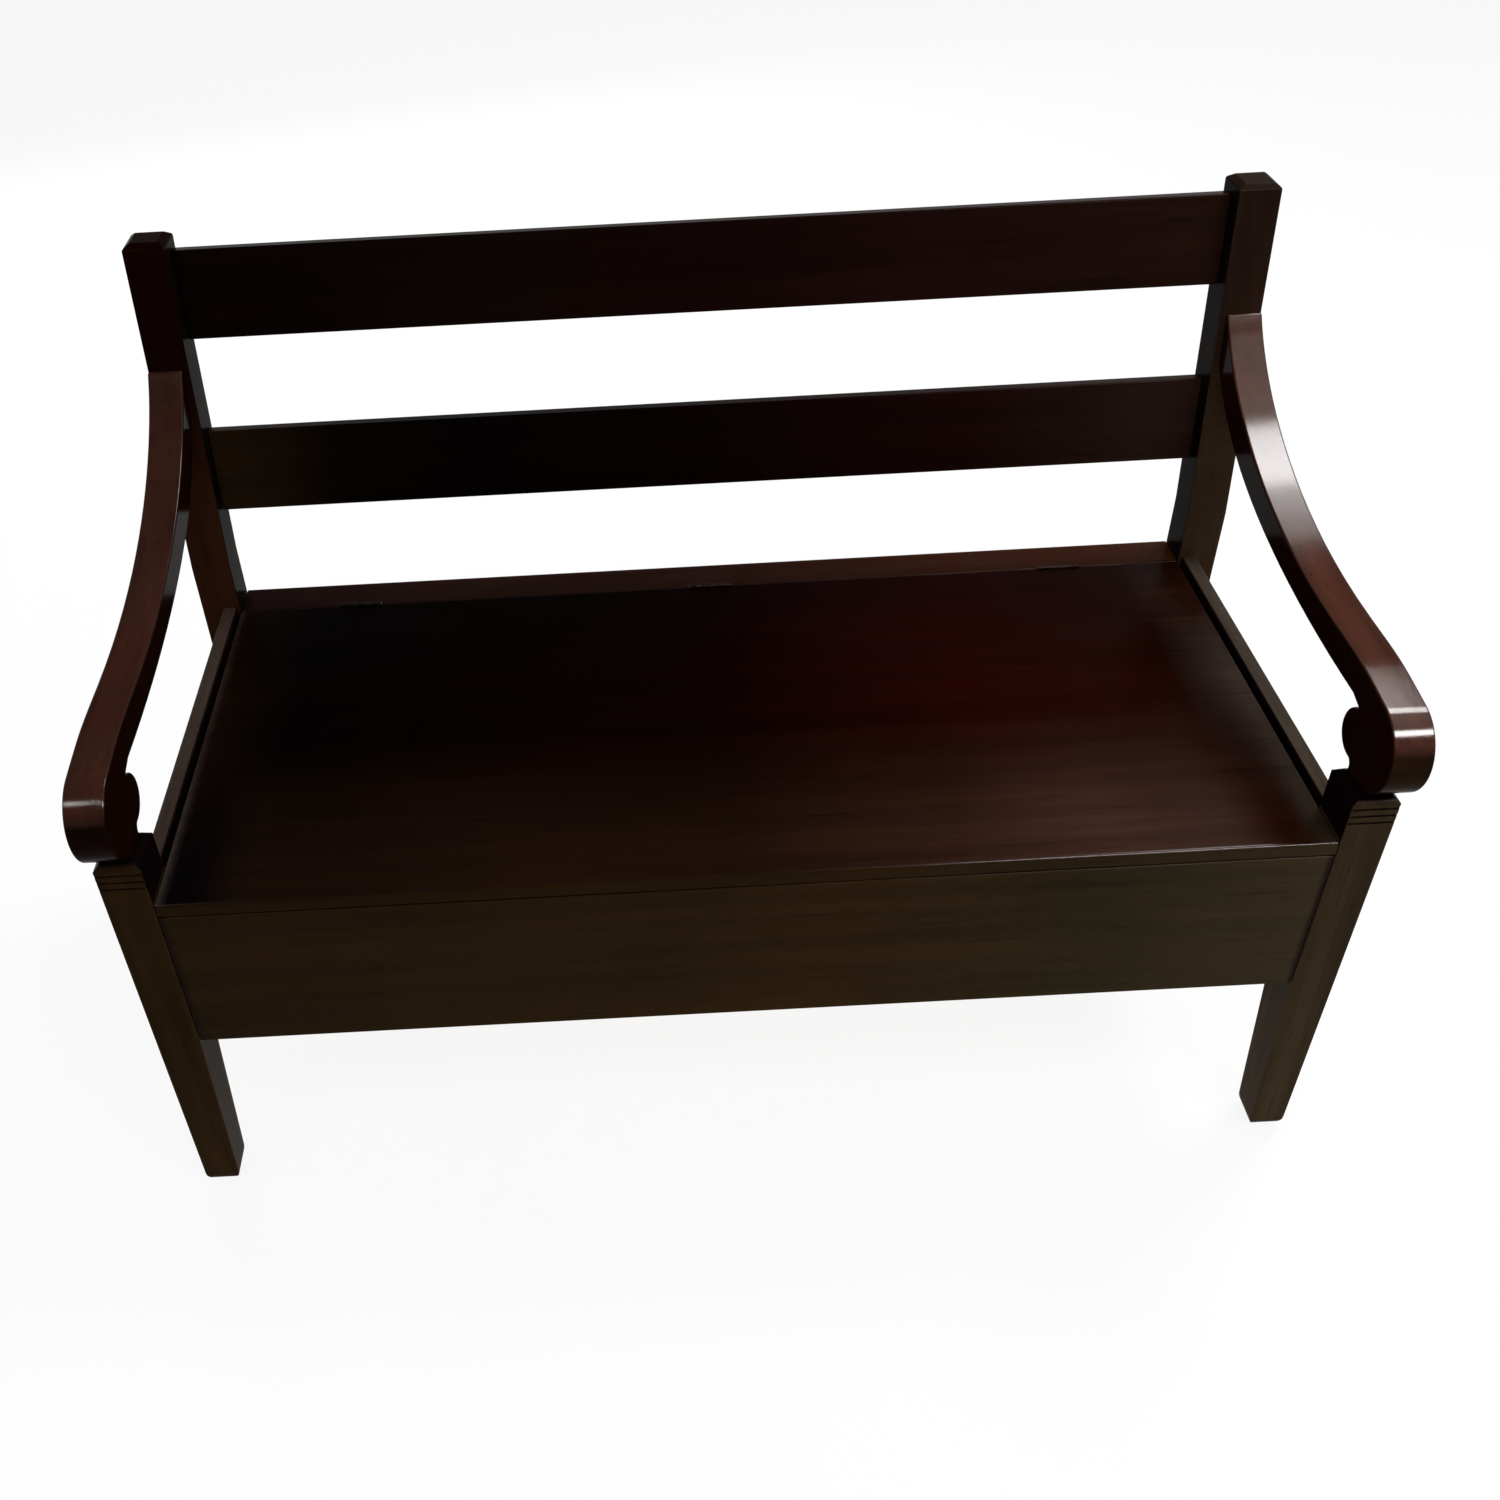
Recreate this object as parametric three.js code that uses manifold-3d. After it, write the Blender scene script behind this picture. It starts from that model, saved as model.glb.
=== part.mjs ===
// A deacon's bench: a dark wooden settle for two with a lift-up seat over a storage box.
// Millimetres, X to the sitter's left and right, Y from front to back, Z up from the floor.
// The pieces are set out from the front faces of the legs and the floor, and the last lines
// move the whole bench so that its origin is under the middle of its bounding box.

import * as THREE from 'three';
import { mergeVertices } from 'three/addons/utils/BufferGeometryUtils.js';
import Module from 'manifold-3d';

const wasm = await Module();
wasm.setup();

// Bench
const benchWidth = 1220;        // over the outer faces of the legs
const benchDepth = 549;         // leg fronts to post backs, at the seat
const seatHeight = 438;         // floor to the top of the lid
const apronBottom = 242;        // floor to the underside of the storage box
const jointGap = 0.3;           // glue gap in every fixed joint

// Front legs
const legWidth = 45;
const legDepth = 54;
const legRise = 46;             // seat top to the shoulder of the leg
const legCrownRise = 7;
const legCrownInset = 7;
const footWidth = 37;
const footDepth = 38;
const footRound = 9;            // foot face to where its rounding meets the floor
const footRoundRise = 15;
const grooveDrop = 5;           // leg shoulder to the first cut line
const groovePitch = 8.5;
const grooveWidth = 2.2;
const grooveDepth = 1.2;

// Back posts
const postWidth = 45;
const postDepth = 46;
const kneeRise = 62;            // seat top to where the post starts to lean back
const rakeDegrees = 7.5;
const backRise = 423;           // seat top to the shoulder of the post
const postCrownRise = 5;
const postCrownInset = 7;

// Back rails
const railHeight = 95;
const railThickness = 16;
const railSetback = 22;         // post front to rail front
const crestRailDrop = 7.1;      // post shoulder to the top of the crest rail, along the post
const midRailShare = 0.374;     // of the free stretch of post, below the middle rail
const railTenonLength = 25;
const railTenonThickness = 10;
const railTenonShoulder = 12;

// Storage box
const apronThickness = 19;
const apronTenonLength = 22;
const apronTenonThickness = 9;
const apronTenonShoulder = 16;
const cornerChamfer = 1.6;      // on the apron ends, for the V line beside each leg
const sideThickness = 16;
const sideInset = 25.5;         // leg outer face to side board outer face
const sideRise = 6;             // seat top to the top of the side boards
const sideTenonLength = 22;
const sideTenonThickness = 9;
const sideTenonShoulder = 16;
const panelThickness = 9;
const panelGap = 0.5;
const cleatSize = 20;
const cleatRise = 6;            // box underside to the underside of the bottom cleats

// Lid and the fixed strip behind it
const lidThickness = 15;
const lidEdgeRound = 4;
const lidSideGap = 1;
const lidRestGap = 2;           // lid underside to the top of the front apron
const lidSeam = 1;              // lid back edge to strip front edge
const hingeLead = 0.8;          // post front to hinge line
const stripEndGap = 1;
const dotRadius = 5;
const dotInset = 40;            // leg inner face to dot centre
const dotThickness = 1.4;

// Hinges
const hingeInset = 144;         // lid end to the middle of an end hinge
const hingeLength = 50;
const leafThickness = 1.1;
const leafDrop = 12.5;          // seat top to the lower edge of a leaf
const leafFaceGap = 0.3;        // between the closed leaves
const letInGap = 0.15;          // leaf to wood
const pinRise = 1;              // seat top to the pin's axis
const pinRadius = 1.1;
const pinPlay = 0.05;
const knuckleRadius = 2.4;
const knuckleCount = 5;
const knuckleGap = 0.25;
const knuckleRoom = 0.4;        // knuckle to wood, and to the other leaf's plate

// Screws: the small ones of the hinges and the stouter ones of the frame
const hingeScrewSpread = 28;
const hingeScrewDrop = 7.2;     // seat top to the screw's axis
const hingeScrewRadius = 1.1;
const hingeScrewHead = 2.2;
const hingeScrewHeadDepth = 1.1;
const hingeScrewLength = 16;
const frameScrewRadius = 2.2;
const frameScrewHead = 4.2;
const frameScrewHeadDepth = 3;
const stripScrewLength = 29;
const stripScrewCount = 4;
const stripScrewInset = 92;     // strip end to the first screw
const stripScrewSetback = 17;   // post front to the strip screws' axis
const armScrewDrop = 16;        // middle of the arm's rear end to the arm screw, along the post
const armScrewGrip = 23;        // length of screw inside the arm
const plugRadius = 5;
const plugLength = 10;
const slotWidth = 0.6;
const slotDepth = 0.5;
const screwPlay = 0.15;

// Scroll arms
const armWidth = 38;
const armLevelStart = 143;      // leg front to the start of the sweep
const armSweepStartPull = 221;
const armSweepEndPull = 68;
const armSweepDegrees = 52;
const armClimb = 137.3;         // level stretch to the arm's upper edge at the post
const armEndHeight = 54;        // of the arm's rear end, against the post
const armEndRound = 3;          // corner of the rear end to where its rounding starts
const armThickness = 34.5;      // of the level stretch
const armUnderStart = 72;
const armUnderStartPull = 191;
const armUnderEndPull = 113;
const armUnderDegrees = 50;
const noseRadius = 47;
const noseOverhang = 25;        // leg front to the foremost point of the scroll
const noseDrop = 7.7;           // level top to the top of the nose circle
const noseLeaveDegrees = 8;
const noseEndDegrees = 66;      // below the horizontal, where the nose meets the neck
const lobeRadius = 26;
const lobeBack = 74;            // leg front to the rearmost point of the scroll
const lobeDrop = 65;            // level top to the middle of the scroll's eye
const lobeStartDegrees = 76;
const lobeEndDegrees = -97;
const neckHeight = 3.2;         // leg top to the lowest point of the nose circle
const neckFront = 8;            // leg front to the front of the arm's foot
const neckBack = 46;
const neckWaist = 37;
const dowelRadius = 5;
const dowelLength = 60;

// Fineness and cutting aids
const overrun = 2;              // how far a cutter reaches past the face that it cuts
const roundSteps = 24;
const footSteps = 6;
const edgeSteps = 6;
const outlineSteps = 20;

// Worked-out places
const half = benchWidth / 2;
const kneeHeight = seatHeight + kneeRise;
const postHeight = seatHeight + backRise;
const legInner = half - legWidth;
const postInner = half - postWidth;
const legShoulder = seatHeight + legRise;
const legCrown = legShoulder + legCrownRise;
const postFront = benchDepth - postDepth;
const rake = THREE.MathUtils.degToRad(rakeDegrees);
const postBackThrough = postDepth * Math.cos(rake);
const crestRailRise = (postHeight - kneeHeight) / Math.cos(rake) - crestRailDrop - railHeight;
const midRailRise = (crestRailRise - railHeight) * midRailShare;
const sideOuter = half - sideInset;
const sideInner = sideOuter - sideThickness;
const lidBottom = seatHeight - lidThickness;
const lidHalf = legInner - lidSideGap;
const hingeY = postFront - hingeLead;
const pinZ = seatHeight + pinRise;
const apronTop = lidBottom - lidRestGap;
const rearApronTop = lidBottom - jointGap;
const rearApronFront = benchDepth - apronThickness;
const cleatBottom = apronBottom + cleatRise;
const armInner = half - armWidth;
const armLevel = legCrown + jointGap + neckHeight + 2 * noseRadius + noseDrop;
const armUnderLevel = armLevel - armThickness;
const armPostTop = armLevel + armClimb;
const armPostBottom = armPostTop - armEndHeight;
const armEndMiddle = (armPostTop + armPostBottom) / 2;
const armScrewRise = (armEndMiddle - kneeHeight) / Math.cos(rake) - armScrewDrop;
const lobeHeight = armLevel - lobeDrop;
const armMiddle = (armInner + half) / 2;

// Finishes
const espresso = new THREE.MeshStandardMaterial({ color: 0x2b1511, roughness: 0.3, metalness: 0 });
const bareWood = new THREE.MeshStandardMaterial({ color: 0xb08a5e, roughness: 0.8, metalness: 0 });
const bronze = new THREE.MeshStandardMaterial({ color: 0x4a3826, roughness: 0.4, metalness: 1 });
const steel = new THREE.MeshStandardMaterial({ color: 0x9a9a98, roughness: 0.35, metalness: 1 });
const felt = new THREE.MeshStandardMaterial({ color: 0x2a2522, roughness: 1, metalness: 0 });

// Solids

function toSolid(geometry) {
  const bare = geometry.clone();
  bare.deleteAttribute('normal');
  bare.deleteAttribute('uv');
  const merged = mergeVertices(bare);
  const vertProperties = new Float32Array(merged.attributes.position.array);
  const triVerts = new Uint32Array(merged.index.array);
  return new wasm.Manifold(new wasm.Mesh({ numProp: 3, vertProperties, triVerts }));
}

function toGeometry(solid) {
  const mesh = solid.getMesh();
  const geometry = new THREE.BufferGeometry();
  geometry.setAttribute('position', new THREE.BufferAttribute(mesh.vertProperties, mesh.numProp));
  geometry.setIndex(new THREE.BufferAttribute(mesh.triVerts, 1));
  geometry.computeVertexNormals();
  return geometry;
}

function shaped(body, { add = [], cut = [] }) {
  let solid = toSolid(body);
  for (const extra of add) solid = solid.add(toSolid(extra));
  for (const cutter of cut) solid = solid.subtract(toSolid(cutter));
  return toGeometry(solid);
}

function block(x0, x1, y0, y1, z0, z1) {
  const geometry = new THREE.BoxGeometry(Math.abs(x1 - x0), Math.abs(y1 - y0), Math.abs(z1 - z0));
  return geometry.translate((x0 + x1) / 2, (y0 + y1) / 2, (z0 + z1) / 2);
}

// A prism along X from an outline drawn in Y and Z
function prism(outline, x0, x1, curveSegments) {
  const depth = Math.abs(x1 - x0);
  const geometry = new THREE.ExtrudeGeometry(outline, { depth, bevelEnabled: false, curveSegments });
  const toBench = new THREE.Matrix4().makeBasis(
    new THREE.Vector3(0, 1, 0), new THREE.Vector3(0, 0, 1), new THREE.Vector3(1, 0, 0));
  return geometry.applyMatrix4(toBench).translate(Math.min(x0, x1), 0, 0);
}

// A closed body through level rectangles, each given as x0, x1, y0, y1 and its height z
function stacked(rings) {
  const positions = [];
  const index = [];
  const sides = 4;
  for (const { x0, x1, y0, y1, z } of rings) {
    positions.push(x0, y0, z, x1, y0, z, x1, y1, z, x0, y1, z);
  }
  for (let ring = 0; ring < rings.length - 1; ring += 1) {
    for (let side = 0; side < sides; side += 1) {
      const next = (side + 1) % sides;
      const low = ring * sides;
      const high = low + sides;
      index.push(low + side, low + next, high + next, low + side, high + next, high + side);
    }
  }
  const top = (rings.length - 1) * sides;
  index.push(0, 2, 1, 0, 3, 2, top, top + 1, top + 2, top, top + 2, top + 3);
  const geometry = new THREE.BufferGeometry();
  geometry.setAttribute('position', new THREE.Float32BufferAttribute(positions, 3));
  geometry.setIndex(index);
  return geometry;
}

// A turned body from radius and height pairs, its axis along Z
function turned(profile) {
  const points = profile.map(([radius, height]) => new THREE.Vector2(radius, height));
  return new THREE.LatheGeometry(points, roundSteps).rotateX(Math.PI / 2);
}

function rod(radius, length) {
  return turned([[0, 0], [radius, 0], [radius, length], [0, length]]);
}

// Both ends of a piece on one side of the bench, in rising order of X
function spanX(side, inner, outer) {
  return side > 0 ? [inner, outer] : [-outer, -inner];
}

// A wood screw with its head at the origin and its point along +Z, and the hole that it needs
function screwProfile(radius, head, headDepth, length, play) {
  const tip = 3 * radius;
  return [
    [0, 0], [head + play, 0], [radius + play, headDepth], [radius + play, length - tip + play],
    [0, length + play],
  ];
}

function screw(radius, head, headDepth, length) {
  const body = turned(screwProfile(radius, head, headDepth, length, 0));
  const slot = block(-head - overrun, head + overrun, -slotWidth / 2, slotWidth / 2, -overrun, slotDepth);
  return shaped(body, { cut: [slot] });
}

function screwHole(radius, head, headDepth, length) {
  const mouth = rod(head + screwPlay, overrun).translate(0, 0, -overrun);
  const hole = turned(screwProfile(radius, head, headDepth, length, screwPlay));
  return shaped(hole, { add: [mouth] });
}

const bench = new THREE.Group();
const leaning = new THREE.Group();
leaning.position.set(0, postFront, kneeHeight);
leaning.rotation.set(-rake, 0, 0);
leaning.updateMatrixWorld();
bench.add(leaning);

function place(parent, name, geometry, material) {
  const mesh = new THREE.Mesh(geometry, material);
  mesh.name = name;
  parent.add(mesh);
  return mesh;
}

// A cutter drawn in the leaning frame, moved to where it meets the upright pieces
function fromLeaning(geometry) {
  return geometry.applyMatrix4(leaning.matrixWorld);
}

const hands = [['left', -1], ['right', 1]];

// Front legs: square above the box's underside, tapered on two faces below it

function legRings(side, outer, inner, front, back, taper) {
  const rings = [];
  for (let step = 0; step <= footSteps; step += 1) {
    const angle = (step / footSteps) * (Math.PI / 2);
    const z = footRoundRise * (1 - Math.cos(angle));
    const inset = footRound * (1 - Math.sin(angle));
    const shareUp = z / apronBottom;
    const innerX = THREE.MathUtils.lerp(outer - footWidth, inner, shareUp);
    const [x0, x1] = spanX(side, innerX + inset, outer - inset);
    const y0 = THREE.MathUtils.lerp(taper.front, front, shareUp) + inset;
    const y1 = THREE.MathUtils.lerp(taper.back, back, shareUp) - inset;
    rings.push({ x0, x1, y0, y1, z });
  }
  const [x0, x1] = spanX(side, inner, outer);
  rings.push({ x0, x1, y0: front, y1: back, z: apronBottom });
  return rings;
}

function vGroove(x0, x1, z) {
  const outline = new THREE.Shape();
  outline.moveTo(-grooveDepth, z - grooveWidth);
  outline.lineTo(grooveDepth, z);
  outline.lineTo(-grooveDepth, z + grooveWidth);
  outline.closePath();
  return prism(outline, x0, x1);
}

function apronTenon(side, front, grow) {
  const middle = front + apronThickness / 2;
  const reach = apronTenonThickness / 2 + grow;
  const top = front > postFront ? rearApronTop : apronTop;
  return block(
    side * (legInner - grow - overrun), side * (legInner + apronTenonLength + grow),
    middle - reach, middle + reach,
    apronBottom + apronTenonShoulder - grow, top - apronTenonShoulder + grow);
}

function sideTenon(side, edge, inward, grow) {
  const middle = (sideInner + sideOuter) / 2;
  const reach = sideTenonThickness / 2 + grow;
  return block(
    side * (middle - reach), side * (middle + reach),
    edge - inward * (grow + overrun), edge + inward * (sideTenonLength + grow),
    apronBottom + sideTenonShoulder - grow, seatHeight + sideRise - sideTenonShoulder + grow);
}

const dowelY = (neckFront + neckBack) / 2;
const dowelBottom = legCrown - dowelLength / 2;

function dowelHole(side) {
  const hole = rod(dowelRadius + jointGap, dowelLength + 2 * jointGap);
  return hole.translate(side * armMiddle, dowelY, dowelBottom - jointGap);
}

for (const [hand, side] of hands) {
  const rings = legRings(side, half, legInner, 0, legDepth, { front: 0, back: footDepth });
  const [x0, x1] = spanX(side, legInner, half);
  rings.push({ x0, x1, y0: 0, y1: legDepth, z: legShoulder });
  rings.push({
    x0: x0 + legCrownInset, x1: x1 - legCrownInset,
    y0: legCrownInset, y1: legDepth - legCrownInset, z: legCrown,
  });
  const grooves = [0, 1, 2].map((line) => vGroove(
    x0 - overrun, x1 + overrun, legShoulder - grooveDrop - line * groovePitch));
  const leg = shaped(stacked(rings), {
    cut: [...grooves, apronTenon(side, 0, jointGap), sideTenon(side, legDepth, -1, jointGap), dowelHole(side)],
  });
  place(bench, `front_leg_${hand}`, leg, espresso);
}

// Back posts: rear leg and back stile in one, upright to the knee and raked above it

function railTenon(side, rise, grow) {
  const front = railSetback + (railThickness - railTenonThickness) / 2;
  return block(
    side * (postInner - grow - overrun), side * (postInner + railTenonLength + grow),
    front - grow, front + railTenonThickness + grow,
    rise + railTenonShoulder - grow, rise + railHeight - railTenonShoulder + grow);
}

const armScrewHeadY = postBackThrough - plugLength - jointGap;
const armScrewLength = armScrewHeadY + armScrewGrip;

function armScrewHole(side) {
  const length = armScrewLength;
  const hole = screwHole(frameScrewRadius, frameScrewHead, frameScrewHeadDepth, length);
  const plugHole = rod(plugRadius + screwPlay, plugLength + jointGap + overrun);
  const drilled = shaped(hole, { add: [plugHole.translate(0, 0, -plugLength - jointGap - overrun)] });
  return drilled.rotateX(Math.PI / 2).translate(side * armMiddle, armScrewHeadY, armScrewRise);
}

for (const [hand, side] of hands) {
  const foot = { front: benchDepth - footDepth, back: benchDepth };
  const rings = legRings(side, half, postInner, postFront, benchDepth, foot);
  const [x0, x1] = spanX(side, postInner, half);
  const lean = (z) => (z - kneeHeight) * Math.tan(rake);
  rings.push({ x0, x1, y0: postFront, y1: benchDepth, z: kneeHeight });
  const back = lean(postHeight);
  rings.push({ x0, x1, y0: postFront + back, y1: benchDepth + back, z: postHeight });
  rings.push({
    x0: x0 + postCrownInset, x1: x1 - postCrownInset,
    y0: postFront + back + postCrownInset, y1: benchDepth + back - postCrownInset,
    z: postHeight + postCrownRise,
  });
  const post = shaped(stacked(rings), {
    cut: [
      apronTenon(side, rearApronFront, jointGap),
      sideTenon(side, postFront, 1, jointGap),
      fromLeaning(railTenon(side, midRailRise, jointGap)),
      fromLeaning(railTenon(side, crestRailRise, jointGap)),
      fromLeaning(armScrewHole(side)),
    ],
  });
  place(bench, `back_post_${hand}`, post, espresso);
  const plug = rod(plugRadius, plugLength).rotateX(Math.PI / 2);
  const plugY = postBackThrough;
  place(leaning, `screw_plug_${hand}`, plug.translate(side * armMiddle, plugY, armScrewRise), espresso);
  const armScrew = screw(frameScrewRadius, frameScrewHead, frameScrewHeadDepth, armScrewLength);
  armScrew.rotateX(Math.PI / 2).translate(side * armMiddle, armScrewHeadY, armScrewRise);
  place(leaning, `arm_screw_${hand}`, armScrew, steel);
}

// Back rails: flat boards tenoned between the posts, near their backs

for (const [name, rise] of [['mid_rail', midRailRise], ['crest_rail', crestRailRise]]) {
  const shoulder = postInner - jointGap;
  const board = block(
    -shoulder, shoulder, railSetback, railSetback + railThickness, rise, rise + railHeight);
  const rail = shaped(board, { add: [railTenon(-1, rise, 0), railTenon(1, rise, 0)] });
  place(leaning, name, rail, espresso);
}

// Storage box: front and rear aprons, side boards, bottom panel and its cleats

function apronBoard(front, top) {
  const shoulder = legInner - jointGap;
  const outline = new THREE.Shape();
  outline.moveTo(-shoulder + cornerChamfer, front);
  outline.lineTo(shoulder - cornerChamfer, front);
  outline.lineTo(shoulder, front + cornerChamfer);
  outline.lineTo(shoulder, front + apronThickness);
  outline.lineTo(-shoulder, front + apronThickness);
  outline.lineTo(-shoulder, front + cornerChamfer);
  outline.closePath();
  const board = new THREE.ExtrudeGeometry(outline, { depth: top - apronBottom, bevelEnabled: false });
  board.translate(0, 0, apronBottom);
  return shaped(board, { add: [apronTenon(-1, front, 0), apronTenon(1, front, 0)] });
}

place(bench, 'front_apron', apronBoard(0, apronTop), espresso);
place(bench, 'rear_apron', apronBoard(rearApronFront, rearApronTop), espresso);

for (const [hand, side] of hands) {
  const board = block(
    side * sideInner, side * sideOuter, legDepth + jointGap, postFront - jointGap,
    apronBottom, seatHeight + sideRise);
  const sideBoard = shaped(board, {
    add: [sideTenon(side, legDepth, -1, 0), sideTenon(side, postFront, 1, 0)],
  });
  place(bench, `side_board_${hand}`, sideBoard, espresso);
  const cleatOuter = sideInner - jointGap;
  const cleat = block(
    side * (cleatOuter - cleatSize), side * cleatOuter, legDepth + panelGap, postFront - panelGap,
    cleatBottom, cleatBottom + cleatSize);
  place(bench, `side_cleat_${hand}`, cleat, bareWood);
}

function crossCleat(front, bottom) {
  const end = legInner - panelGap;
  return block(-end, end, front, front + cleatSize, bottom, bottom + cleatSize);
}

place(bench, 'front_cleat', crossCleat(apronThickness + jointGap, cleatBottom), bareWood);
place(bench, 'rear_cleat', crossCleat(rearApronFront - jointGap - cleatSize, cleatBottom), bareWood);

function bottomPanel() {
  const wide = sideInner - panelGap;
  const narrow = legInner - panelGap;
  const front = apronThickness + panelGap;
  const back = rearApronFront - panelGap;
  const notchFront = legDepth + panelGap;
  const notchBack = postFront - panelGap;
  const outline = new THREE.Shape();
  outline.moveTo(-narrow, front);
  outline.lineTo(narrow, front);
  outline.lineTo(narrow, notchFront);
  outline.lineTo(wide, notchFront);
  outline.lineTo(wide, notchBack);
  outline.lineTo(narrow, notchBack);
  outline.lineTo(narrow, back);
  outline.lineTo(-narrow, back);
  outline.lineTo(-narrow, notchBack);
  outline.lineTo(-wide, notchBack);
  outline.lineTo(-wide, notchFront);
  outline.lineTo(-narrow, notchFront);
  outline.closePath();
  const panel = new THREE.ExtrudeGeometry(outline, { depth: panelThickness, bevelEnabled: false });
  return panel.translate(0, 0, cleatBottom + cleatSize + jointGap);
}

place(bench, 'bottom_panel', bottomPanel(), bareWood);

// Hinges: three butt hinges let into the lid's back edge and the strip's front edge. A leaf is
// drawn for the strip side, and turned about the pin for the lid side.

const hingeCentres = [-(lidHalf - hingeInset), 0, lidHalf - hingeInset];
const knuckleLength = hingeLength / knuckleCount;
const plateTop = knuckleRadius + knuckleRoom;       // pin to the cut-away top of a plate
const plateBottom = leafDrop + pinRise;             // pin to the lower edge of a plate
const plateNear = leafFaceGap / 2;
const plateFar = plateNear + leafThickness;

// Every other knuckle belongs to the strip's leaf, from the ends inward
function leaf(onLid) {
  const plate = block(
    -hingeLength / 2, hingeLength / 2, plateNear, plateFar, -plateBottom, -plateTop);
  const add = [];
  for (let number = onLid ? 1 : 0; number < knuckleCount; number += 2) {
    const start = -hingeLength / 2 + number * knuckleLength + knuckleGap / 2;
    const length = knuckleLength - knuckleGap;
    add.push(rod(knuckleRadius, length).rotateY(Math.PI / 2).translate(start, 0, 0));
    add.push(block(start, start + length, plateNear, plateFar, -plateTop - overrun, 0));
  }
  const bore = rod(pinRadius + pinPlay, hingeLength + 2 * overrun).rotateY(Math.PI / 2);
  const cut = [bore.translate(-hingeLength / 2 - overrun, 0, 0)];
  for (const x of screwPlaces) cut.push(hingeScrewHole().translate(x, plateNear, screwZ));
  return shaped(plate, { add, cut });
}

const screwPlaces = [-hingeScrewSpread / 2, hingeScrewSpread / 2];
const screwZ = -(hingeScrewDrop + pinRise);

function hingeScrewHole() {
  const hole = screwHole(hingeScrewRadius, hingeScrewHead, hingeScrewHeadDepth, hingeScrewLength);
  return hole.rotateX(-Math.PI / 2);
}

function hingeScrew() {
  const part = screw(hingeScrewRadius, hingeScrewHead, hingeScrewHeadDepth, hingeScrewLength);
  return part.rotateX(-Math.PI / 2);
}

// What the hinge takes out of one wooden edge: the leaf's bed, room for the barrel, screw holes
function hingeBed() {
  const bed = block(
    -hingeLength / 2 - letInGap, hingeLength / 2 + letInGap, 0, plateFar + letInGap,
    -plateBottom - letInGap, overrun);
  const room = knuckleRadius + knuckleRoom;
  const barrel = block(
    -hingeLength / 2 - letInGap, hingeLength / 2 + letInGap, 0, room, -room, overrun);
  return [bed, barrel, ...screwPlaces.map((x) => hingeScrewHole().translate(x, plateNear, screwZ))];
}

// The lid's half of each hinge is the strip's half seen from the other side
function turnedRound(geometry) {
  return geometry.rotateZ(Math.PI);
}

const stripBeds = [];
const lidBeds = [];
for (const x of hingeCentres) {
  for (const cutter of hingeBed()) stripBeds.push(cutter.translate(x, hingeY, pinZ));
  for (const cutter of hingeBed()) lidBeds.push(turnedRound(cutter).translate(x, hingeY, pinZ));
}

const hingeNames = ['left', 'middle', 'right'];
hingeCentres.forEach((x, number) => {
  const name = hingeNames[number];
  place(bench, `hinge_${name}_strip_leaf`, leaf(false).translate(x, hingeY, pinZ), bronze);
  place(bench, `hinge_${name}_lid_leaf`, turnedRound(leaf(true)).translate(x, hingeY, pinZ), bronze);
  const pin = rod(pinRadius, hingeLength).rotateY(Math.PI / 2);
  place(bench, `hinge_${name}_pin`, pin.translate(x - hingeLength / 2, hingeY, pinZ), steel);
  screwPlaces.forEach((along, which) => {
    const held = hingeScrew().translate(along, plateNear, screwZ);
    place(bench, `hinge_${name}_strip_screw_${which + 1}`, held.translate(x, hingeY, pinZ), bronze);
    const carried = turnedRound(hingeScrew().translate(along, plateNear, screwZ));
    place(bench, `hinge_${name}_lid_screw_${which + 1}`, carried.translate(x, hingeY, pinZ), bronze);
  });
});

// Seat: the lid, and the fixed strip between the posts with the cleat that carries it

const stripHalf = postInner - stripEndGap;
const stripScrewHalf = stripHalf - stripScrewInset;
const stripScrewPlaces = Array.from({ length: stripScrewCount }, (_, number) => (
  THREE.MathUtils.lerp(-stripScrewHalf, stripScrewHalf, number / (stripScrewCount - 1))));
const stripScrewBottom = rearApronTop - cleatSize;
const stripScrewY = postFront + stripScrewSetback;

function stripScrewHole(x) {
  const hole = screwHole(frameScrewRadius, frameScrewHead, frameScrewHeadDepth, stripScrewLength);
  return hole.translate(x, stripScrewY, stripScrewBottom);
}

const lidBack = hingeY - lidSeam / 2;
const lidOutline = new THREE.Shape();
lidOutline.moveTo(0, lidBottom);
lidOutline.lineTo(lidBack, lidBottom);
lidOutline.lineTo(lidBack, seatHeight);
lidOutline.absarc(
  lidEdgeRound, seatHeight - lidEdgeRound, lidEdgeRound, Math.PI / 2, Math.PI, false);
lidOutline.closePath();
const lid = prism(lidOutline, -lidHalf, lidHalf, edgeSteps);
place(bench, 'seat_lid', shaped(lid, { cut: lidBeds }), espresso);

const strip = block(-stripHalf, stripHalf, hingeY + lidSeam / 2, benchDepth, lidBottom, seatHeight);
const stripCuts = [...stripBeds, ...stripScrewPlaces.map(stripScrewHole)];
place(bench, 'seat_strip', shaped(strip, { cut: stripCuts }), espresso);

const stripCleat = crossCleat(rearApronFront - jointGap - cleatSize, rearApronTop - cleatSize);
place(bench, 'strip_cleat', shaped(stripCleat, { cut: stripScrewPlaces.map(stripScrewHole) }), bareWood);

stripScrewPlaces.forEach((x, number) => {
  const part = screw(frameScrewRadius, frameScrewHead, frameScrewHeadDepth, stripScrewLength);
  place(bench, `strip_screw_${number + 1}`, part.translate(x, stripScrewY, stripScrewBottom), steel);
});

for (const [hand, side] of hands) {
  const dot = rod(dotRadius, dotThickness);
  dot.translate(side * (legInner - dotInset), apronThickness / 2, apronTop + jointGap);
  place(bench, `lid_dot_${hand}`, dot, felt);
}

// Arms: one board each, sawn to a scroll, standing on the leg and screwed to the post

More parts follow.
